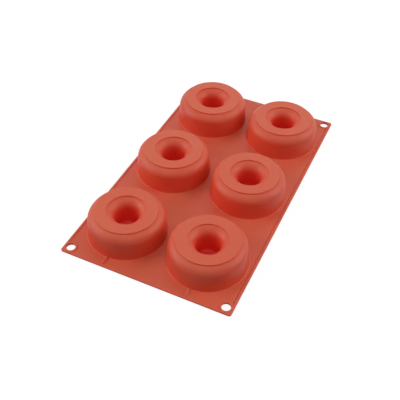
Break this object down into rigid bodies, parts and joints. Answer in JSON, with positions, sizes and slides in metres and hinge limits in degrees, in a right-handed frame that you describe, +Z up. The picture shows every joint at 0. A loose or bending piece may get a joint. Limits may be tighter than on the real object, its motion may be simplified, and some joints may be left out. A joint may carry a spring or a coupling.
{
  "type": "silicone doughnut mould",
  "caption": "Flexible rectangular baking mould with a grid of ring-shaped cavities, lying cavity side down with the rounded ring backs, blind centre holes and corner hanging holes up.",
  "frame": {"origin": "middle of the flat open side that lies on the table, at the middle of the sheet", "axes": "+X along the sheet's length, away from the short edge with the two flow ribs; +Y across the width; +Z up, from the open side towards the lands on the ring backs"},
  "size_m": [0.3, 0.175, 0.0297],
  "materials": {
    "silicone": "satin terracotta silicone rubber"
  },
  "bodies": {
    "root": {"mould": "silicone"}
  },
  "joints": []
}
